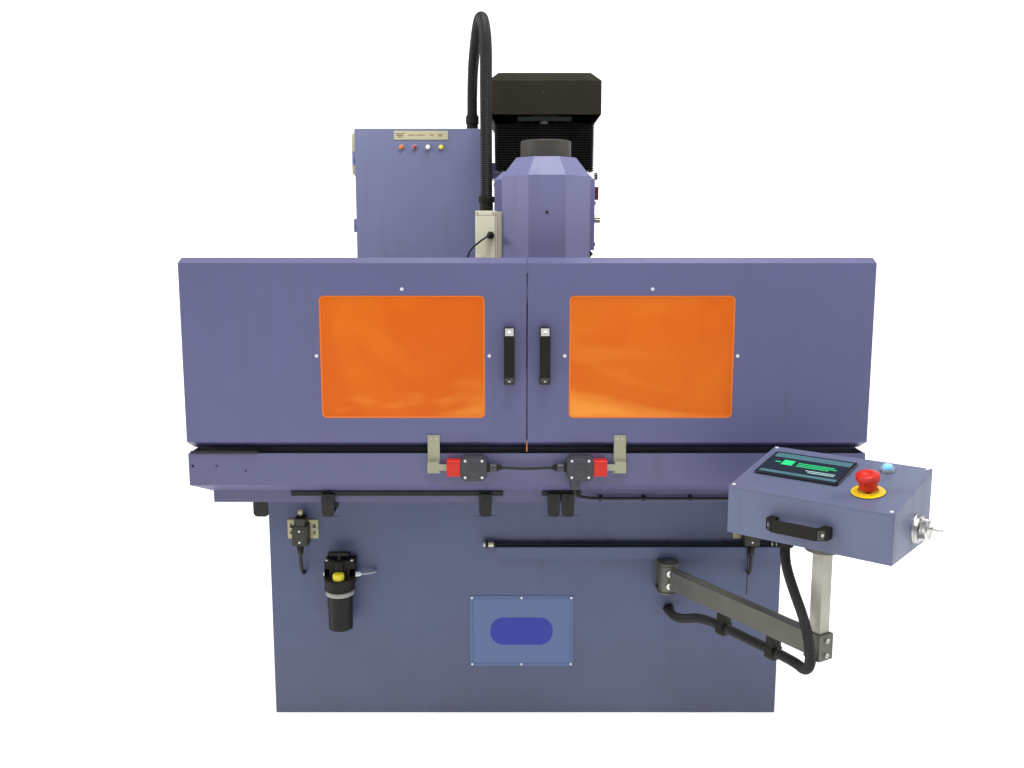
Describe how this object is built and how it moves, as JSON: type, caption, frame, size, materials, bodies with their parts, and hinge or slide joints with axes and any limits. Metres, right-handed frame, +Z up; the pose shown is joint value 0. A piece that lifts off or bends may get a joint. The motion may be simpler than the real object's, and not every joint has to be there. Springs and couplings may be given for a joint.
{
  "type": "surface grinder",
  "caption": "Vertical-spindle surface grinder with a travelling table behind sliding doors with orange windows, a column head and a swinging control pendant",
  "frame": {"origin": "centre of the four anchor holes, on the underside of the base", "axes": "+X to the operator's right, -Y towards the operator, +Z up"},
  "size_m": [1.7352, 1.423, 1.9494],
  "materials": {
    "base_paint": "satin blue-violet enamel",
    "panel_paint": "satin blue-violet enamel",
    "way_steel": "ground and scraped",
    "cast_grey": "machined casting",
    "cover_black": "textured black",
    "bellows_rubber": "dull black",
    "motor_grey": "satin",
    "module_plastic": "light grey modules",
    "hose_black": "corrugated black",
    "switch_beige": "beige housings",
    "bright_steel": "zinc plated",
    "pump_plastic": "dark oil pump",
    "bumper_rubber": "moulded",
    "switch_grey": "dark grey housings",
    "switch_red": "red",
    "handle_black": "moulded nylon",
    "window_orange": "orange tinted polycarbonate",
    "abrasive": "vitrified grit",
    "guard_paint": "satin enamel",
    "arm_paint": "olive grey",
    "box_paint": "satin blue enamel",
    "screen_plastic": "black bezel",
    "button_blue": "lit pale blue cap"
  },
  "bodies": {
    "base": {"base_cabinet": "base_paint", "guideways": "way_steel", "column": "panel_paint", "top_cover": "cover_black", "bellows_upper": "bellows_rubber", "bellows_lower": "bellows_rubber", "feed_motor": "motor_grey", "cabinet_case": "panel_paint", "cabinet_internals": "module_plastic", "power_hose": "hose_black", "limit_switches": "switch_beige", "service_lines": "hose_black", "lubricator_body": "pump_plastic", "base_trim": "base_paint", "arm_pivot_bracket": "bright_steel", "end_bumpers": "bumper_rubber", "table_gearmotor": "motor_grey", "conduit_lower": "hose_black"},
    "feed_screw": {"feed_screw": "way_steel"},
    "pinion": {"drive_pinion": "bright_steel"},
    "table": {"table_rack": "way_steel", "table_saddle": "cast_grey", "work_table": "cast_grey", "splash_tray": "panel_paint", "splash_guards": "panel_paint", "door_rails": "way_steel", "trip_dogs": "cover_black", "interlock_switches": "switch_grey", "interlock_heads": "switch_red"},
    "left_door": {"left_door": "panel_paint", "left_window": "window_orange", "left_door_handle": "handle_black", "left_door_fittings": "bright_steel"},
    "right_door": {"right_door": "panel_paint", "right_window": "window_orange", "right_door_handle": "handle_black", "right_door_fittings": "bright_steel"},
    "head": {"head_carriage": "panel_paint", "spindle_housing": "panel_paint", "spindle_motor": "motor_grey", "wheel_guard": "guard_paint", "junction_box": "switch_beige", "probe_lead": "hose_black"},
    "clamp_knob": {"clamp_knob": "handle_black"},
    "spindle": {"spindle_shaft": "way_steel", "grinding_wheel": "abrasive"},
    "arm": {"pendant_arm": "arm_paint", "arm_conduit": "hose_black", "conduit_upper": "hose_black"},
    "control_box": {"pendant_case": "box_paint", "pendant_panel": "box_paint", "touch_screen": "screen_plastic", "pendant_handle": "handle_black"},
    "estop": {"estop_button": "switch_red"},
    "push_button": {"push_button": "button_blue"},
    "dial": {"hand_dial": "bright_steel"},
    "left_plunger": {"left_plunger": "bright_steel"},
    "right_plunger": {"right_plunger": "bright_steel"},
    "pump_rod": {"lubricator_handle": "pump_plastic"},
    "cabinet_door": {"cabinet_door": "panel_paint"}
  },
  "joints": [
    {"name": "table_slide", "type": "slide", "parent": "base", "child": "table", "axis": [1, 0, 0], "range_m": [-0.45, 0.45]},
    {"name": "pinion_spin", "type": "hinge", "parent": "base", "child": "pinion", "pos_m": [0, -0.208, 0.56625], "axis": [0, 1, 0], "range_deg": [-575, 575]},
    {"name": "left_door_slide", "type": "slide", "parent": "table", "child": "left_door", "axis": [-1, 0, 0], "range_m": [0, 0.4]},
    {"name": "right_door_slide", "type": "slide", "parent": "table", "child": "right_door", "axis": [1, 0, 0], "range_m": [0, 0.4]},
    {"name": "head_slide", "type": "slide", "parent": "base", "child": "head", "axis": [0, 0, 1], "range_m": [-0.33, 0.09], "deforming": ["bellows_upper", "bellows_lower", "power_hose"]},
    {"name": "feed_screw_spin", "type": "hinge", "parent": "base", "child": "feed_screw", "pos_m": [0.06, 0.086, 1.6], "axis": [0, 0, 1], "range_deg": [-11900, 3300]},
    {"name": "clamp_knob_turn", "type": "hinge", "parent": "head", "child": "clamp_knob", "pos_m": [0.2105, 0.045, 1.357], "axis": [1, 0, 0], "range_deg": [-135, 135]},
    {"name": "spindle_spin", "type": "hinge", "parent": "head", "child": "spindle", "pos_m": [0.055, -0.208, 1.3], "axis": [0, 0, 1], "continuous": true},
    {"name": "arm_swing", "type": "hinge", "parent": "base", "child": "arm", "pos_m": [0.377, -0.45, 0.41], "axis": [0, 0, 1], "range_deg": [-60, 0], "deforming": ["conduit_lower"]},
    {"name": "box_swivel", "type": "hinge", "parent": "arm", "child": "control_box", "pos_m": [0.63832, -0.87979, 0.639], "axis": [0, 0, 1], "range_deg": [-60, 60], "deforming": ["conduit_upper"]},
    {"name": "estop_press", "type": "slide", "parent": "control_box", "child": "estop", "axis": [0.1306, 0.1567, -0.979], "range_m": [0, 0.005]},
    {"name": "button_press", "type": "slide", "parent": "control_box", "child": "push_button", "axis": [0.1306, 0.1567, -0.979], "range_m": [0, 0.003], "stiffness_N_per_m": 600, "springref_m": -0.001},
    {"name": "dial_spin", "type": "hinge", "parent": "control_box", "child": "dial", "pos_m": [0.83043, -0.92011, 0.686], "axis": [0.7683, -0.6401, 0], "continuous": true},
    {"name": "left_plunger_press", "type": "slide", "parent": "base", "child": "left_plunger", "axis": [0, 0, -1], "range_m": [0, 0.004], "stiffness_N_per_m": 600, "springref_m": -0.001},
    {"name": "right_plunger_press", "type": "slide", "parent": "base", "child": "right_plunger", "axis": [0, 0, -1], "range_m": [0, 0.004], "stiffness_N_per_m": 600, "springref_m": -0.001},
    {"name": "pump_pull", "type": "slide", "parent": "base", "child": "pump_rod", "axis": [0, 0, 1], "range_m": [0, 0.03]},
    {"name": "cabinet_door_hinge", "type": "hinge", "parent": "base", "child": "cabinet_door", "pos_m": [-0.537, 0.2115, 1.34], "axis": [0, 0, -1], "range_deg": [0, 110]}
  ],
  "couplings": [
    {"joint": "pinion_spin", "follows": "table_slide", "rad_per_m": 22.222},
    {"joint": "feed_screw_spin", "follows": "head_slide", "rad_per_m": 628.32}
  ]
}
